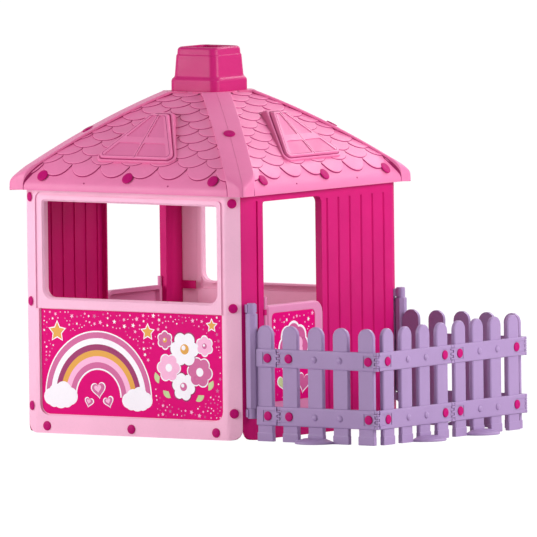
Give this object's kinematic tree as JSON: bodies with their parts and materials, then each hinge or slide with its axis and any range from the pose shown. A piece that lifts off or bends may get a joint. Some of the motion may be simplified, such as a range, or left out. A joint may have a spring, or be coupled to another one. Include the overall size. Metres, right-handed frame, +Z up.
{
  "type": "plastic playhouse",
  "caption": "Moulded plastic play house with a hipped roof, skylights, chimney, window openings, half doors and a hinged picket fence round a small yard.",
  "frame": {"origin": "middle of the footprint of house and fence together, on the floor", "axes": "+Z up, -Y out of the front wall with its window, +X out of the doorway wall towards the fenced yard"},
  "size_m": [1.644, 1.064, 1.3689],
  "materials": {
    "pink_wall": "satin, light pink",
    "magenta_wall": "satin, magenta",
    "roof": "satin, mid pink",
    "chimney": "satin, deep pink",
    "plug": "satin, dark magenta",
    "fence": "satin, lilac",
    "print": "printed film, magenta"
  },
  "bodies": {
    "house": {"wall_front": "pink_wall", "wall_back": "pink_wall", "wall_right": "magenta_wall", "wall_left": "magenta_wall", "print_front": "print", "print_back": "print", "plug_front_left_low": "plug", "plug_front_left_mid": "plug", "plug_front_left_high": "plug", "plug_front_right_low": "plug", "plug_front_right_mid": "plug", "plug_front_right_high": "plug", "plug_back_left_low": "plug", "plug_back_left_mid": "plug", "plug_back_left_high": "plug", "plug_back_right_low": "plug", "plug_back_right_mid": "plug", "plug_back_right_high": "plug", "roof_front": "roof", "roof_right": "roof", "roof_back": "roof", "roof_left": "roof", "eave_plug_front_1": "plug", "eave_plug_front_2": "plug", "eave_plug_front_3": "plug", "eave_plug_right_1": "plug", "eave_plug_right_2": "plug", "eave_plug_right_3": "plug", "eave_plug_back_1": "plug", "eave_plug_back_2": "plug", "eave_plug_back_3": "plug", "eave_plug_left_1": "plug", "eave_plug_left_2": "plug", "eave_plug_left_3": "plug", "hip_plug_front": "plug", "hip_plug_right": "plug", "hip_plug_back": "plug", "hip_plug_left": "plug", "chimney": "chimney", "post_clips_front": "fence", "post_clips_back": "fence"},
    "door_right_leaf": {"door_right": "pink_wall", "door_print_right": "print"},
    "door_left_leaf": {"door_left": "pink_wall", "door_print_left": "print"},
    "fence_end_f": {"fence_end_front": "fence"},
    "fence_side_f": {"fence_side_front": "fence", "split_pin_front_low": "fence", "split_pin_front_high": "fence", "corner_pin_front_low": "fence", "corner_pin_front_high": "fence"},
    "fence_face_f": {"fence_face_front": "fence"},
    "fence_end_b": {"fence_end_back": "fence"},
    "fence_side_b": {"fence_side_back": "fence", "split_pin_back_low": "fence", "split_pin_back_high": "fence", "corner_pin_back_low": "fence", "corner_pin_back_high": "fence"},
    "fence_face_b": {"fence_face_back": "fence"}
  },
  "joints": [
    {"name": "door_right_hinge", "type": "hinge", "parent": "house", "child": "door_right_leaf", "pos_m": [0.193, -0.3625, 0.279], "axis": [0, 0, -1], "range_deg": [0, 95]},
    {"name": "door_left_hinge", "type": "hinge", "parent": "house", "child": "door_left_leaf", "pos_m": [-0.797, 0.3625, 0.279], "axis": [0, 0, -1], "range_deg": [0, 95]},
    {"name": "post_front_turn", "type": "hinge", "parent": "house", "child": "fence_end_f", "pos_m": [0.203, -0.458, 0.28], "axis": [0, 0, -1], "range_deg": [0, 90]},
    {"name": "split_front_fold", "type": "hinge", "parent": "fence_end_f", "child": "fence_side_f", "pos_m": [0.319, -0.456, 0.19], "axis": [0, 0, -1], "range_deg": [0, 45]},
    {"name": "corner_front_fold", "type": "hinge", "parent": "fence_side_f", "child": "fence_face_f", "pos_m": [0.746, -0.456, 0.19], "axis": [0, 0, -1], "range_deg": [0, 90]},
    {"name": "post_back_turn", "type": "hinge", "parent": "house", "child": "fence_end_b", "pos_m": [0.203, 0.458, 0.28], "axis": [0, 0, 1], "range_deg": [0, 90]},
    {"name": "split_back_fold", "type": "hinge", "parent": "fence_end_b", "child": "fence_side_b", "pos_m": [0.319, 0.456, 0.19], "axis": [0, 0, 1], "range_deg": [0, 45]},
    {"name": "corner_back_fold", "type": "hinge", "parent": "fence_side_b", "child": "fence_face_b", "pos_m": [0.746, 0.456, 0.19], "axis": [0, 0, 1], "range_deg": [0, 90]}
  ]
}
